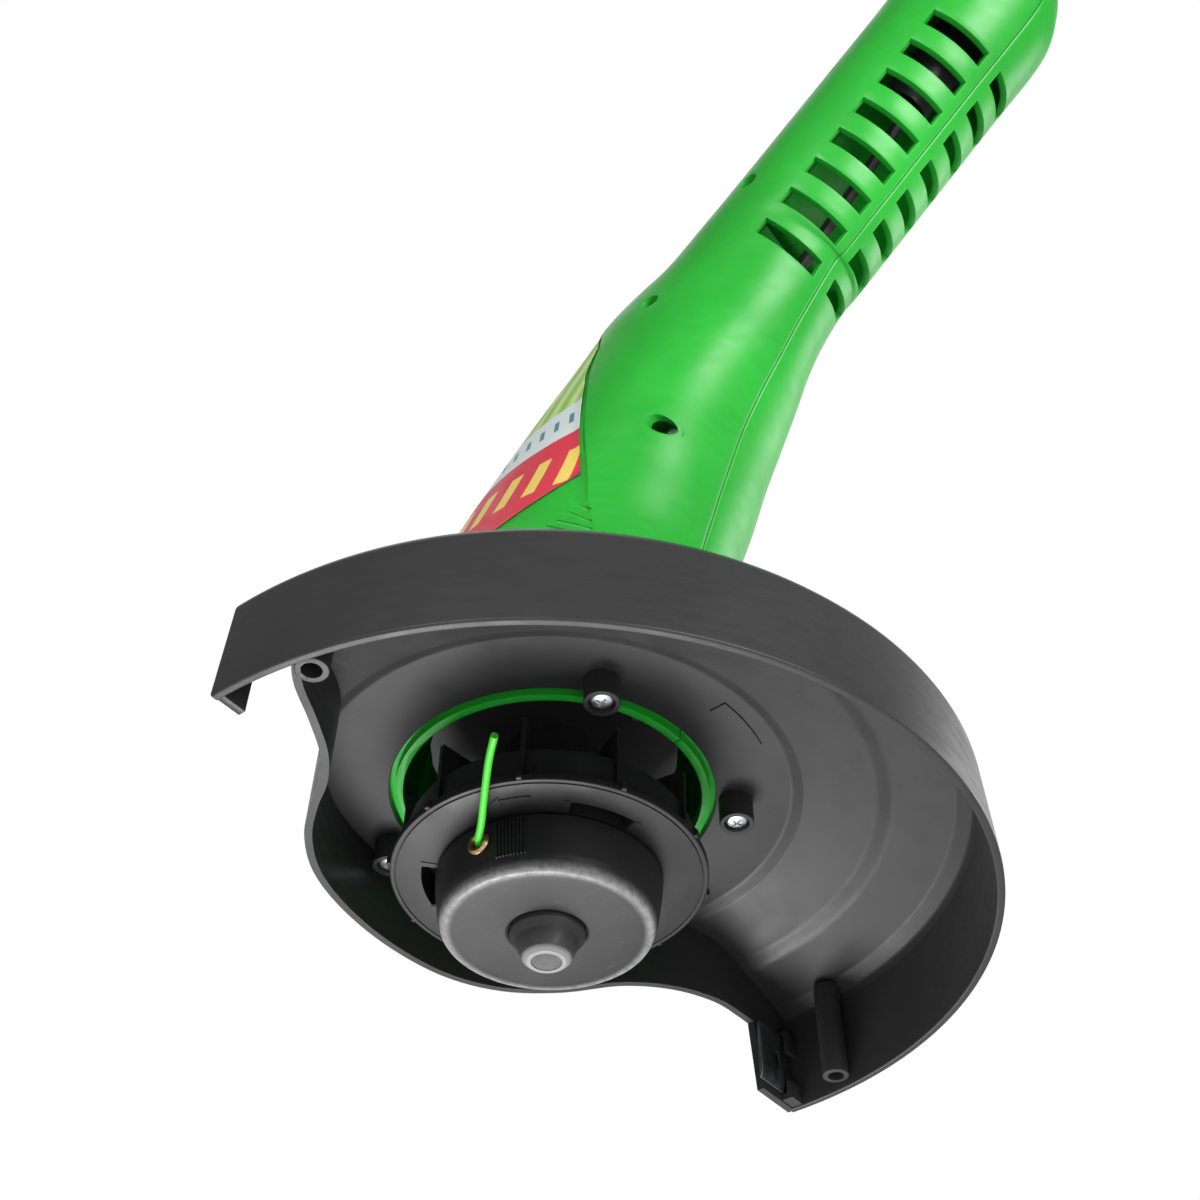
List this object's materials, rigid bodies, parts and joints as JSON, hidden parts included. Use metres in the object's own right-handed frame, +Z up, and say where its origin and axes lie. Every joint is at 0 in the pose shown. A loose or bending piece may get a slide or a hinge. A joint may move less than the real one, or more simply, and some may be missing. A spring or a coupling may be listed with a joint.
{
  "type": "string trimmer",
  "caption": "Corded electric string trimmer: motor housing with line head and half-round guard, straight tube, loop handle and rear trigger handle.",
  "frame": {"origin": "centre of the bump button's foot, the lowest point of the cutting head", "axes": "+Z up the spin axis of the cutting head, +Y towards the operator (the tube leans that way), +X to the operator's left, the side with the screw heads"},
  "size_m": [0.3004, 0.9866, 0.8799],
  "materials": {
    "black_plastic": "satin moulded polypropylene",
    "green_plastic": "semi-gloss moulded ABS",
    "label": "printed vinyl",
    "trimmer_line": "extruded nylon",
    "steel": "bright steel",
    "zinc": "zinc plated",
    "lamination": "stacked laminations",
    "copper": "enamelled wire",
    "brass": "pressed brass",
    "carbon": "sintered carbon",
    "painted_tube": "black powder coat",
    "white_plastic": "moulded nylon",
    "black_cable": "PVC sheath"
  },
  "bodies": {
    "trimmer": {"guard": "black_plastic", "motor_frame_lower": "black_plastic", "motor_frame_upper": "black_plastic", "cord_gland": "black_plastic", "handle_clamp": "black_plastic", "handle_left": "black_plastic", "handle_right": "black_plastic", "switch": "black_plastic", "housing_left": "green_plastic", "housing_right": "green_plastic", "label_left": "label", "label_right": "label", "line_cutter_blade": "steel", "bearing_lower": "steel", "bearing_upper": "steel", "motor_bolt_1": "steel", "motor_bolt_2": "steel", "trigger_pin": "steel", "clamp_bolt": "steel", "brush_spring_1": "steel", "brush_spring_2": "steel", "trigger_spring": "steel", "lock_spring": "steel", "guard_screw_1": "zinc", "guard_screw_2": "zinc", "guard_screw_3": "zinc", "housing_screw_1": "zinc", "housing_screw_2": "zinc", "housing_screw_3": "zinc", "handle_screw_1": "zinc", "handle_screw_2": "zinc", "stator_core": "lamination", "field_coil_1": "copper", "field_coil_2": "copper", "brush_holder_1": "brass", "brush_holder_2": "brass", "carbon_brush_1": "carbon", "carbon_brush_2": "carbon", "tube": "painted_tube", "motor_lead": "black_cable"},
    "rotor": {"motor_shaft": "steel", "armature_core": "lamination", "armature_winding_lower": "copper", "armature_winding_upper": "copper", "commutator": "copper", "fan_carrier": "black_plastic", "carrier_nut": "steel", "feed_spring": "steel"},
    "cap": {"spool_cap": "black_plastic", "eyelet": "brass", "cutting_line": "trimmer_line"},
    "button": {"bump_button": "black_plastic"},
    "reel": {"spool": "black_plastic", "wound_line": "trimmer_line"},
    "trigger": {"trigger": "black_plastic"},
    "plunger": {"switch_plunger": "white_plastic"},
    "lock": {"lock_button": "black_plastic"},
    "loop": {"loop_handle": "black_plastic"},
    "knob": {"clamp_knob": "black_plastic"}
  },
  "joints": [
    {"name": "head_spin", "type": "hinge", "parent": "trimmer", "child": "rotor", "pos_m": [0, 0, 0.1], "axis": [0, 0, 1], "continuous": true},
    {"name": "cap_twist", "type": "hinge", "parent": "rotor", "child": "cap", "pos_m": [0, 0, 0.02], "axis": [0, 0, 1], "range_deg": [-20, 0]},
    {"name": "bump_slide", "type": "slide", "parent": "rotor", "child": "button", "axis": [0, 0, 1], "range_m": [0, 0.005], "stiffness_N_per_m": 3000, "springref_m": -0.004, "deforming": ["feed_spring"]},
    {"name": "reel_turn", "type": "hinge", "parent": "button", "child": "reel", "pos_m": [0, 0, 0.02], "axis": [0, 0, 1], "continuous": true},
    {"name": "trigger_pull", "type": "hinge", "parent": "trimmer", "child": "trigger", "pos_m": [0, 0.69793, 0.78038], "axis": [1, 0, 0], "range_deg": [0, 6], "stiffness_Nm_per_rad": 1.2, "springref_deg": -6.88, "deforming": ["trigger_spring"]},
    {"name": "plunger_slide", "type": "slide", "parent": "trimmer", "child": "plunger", "axis": [0, -0.5299, 0.848], "range_m": [0, 0.005]},
    {"name": "lock_press", "type": "slide", "parent": "trimmer", "child": "lock", "axis": [-1, 0, 0], "range_m": [0, 0.003], "stiffness_N_per_m": 400, "springref_m": -0.003, "deforming": ["lock_spring"]},
    {"name": "loop_tilt", "type": "hinge", "parent": "trimmer", "child": "loop", "pos_m": [0, 0.48533, 0.66221], "axis": [1, 0, 0], "range_deg": [-50, 60]},
    {"name": "knob_turn", "type": "hinge", "parent": "trimmer", "child": "knob", "pos_m": [0, 0.48533, 0.66221], "axis": [1, 0, 0], "continuous": true}
  ],
  "couplings": [
    {"joint": "plunger_slide", "follows": "trigger_pull", "m_per_rad": 0.0465}
  ]
}
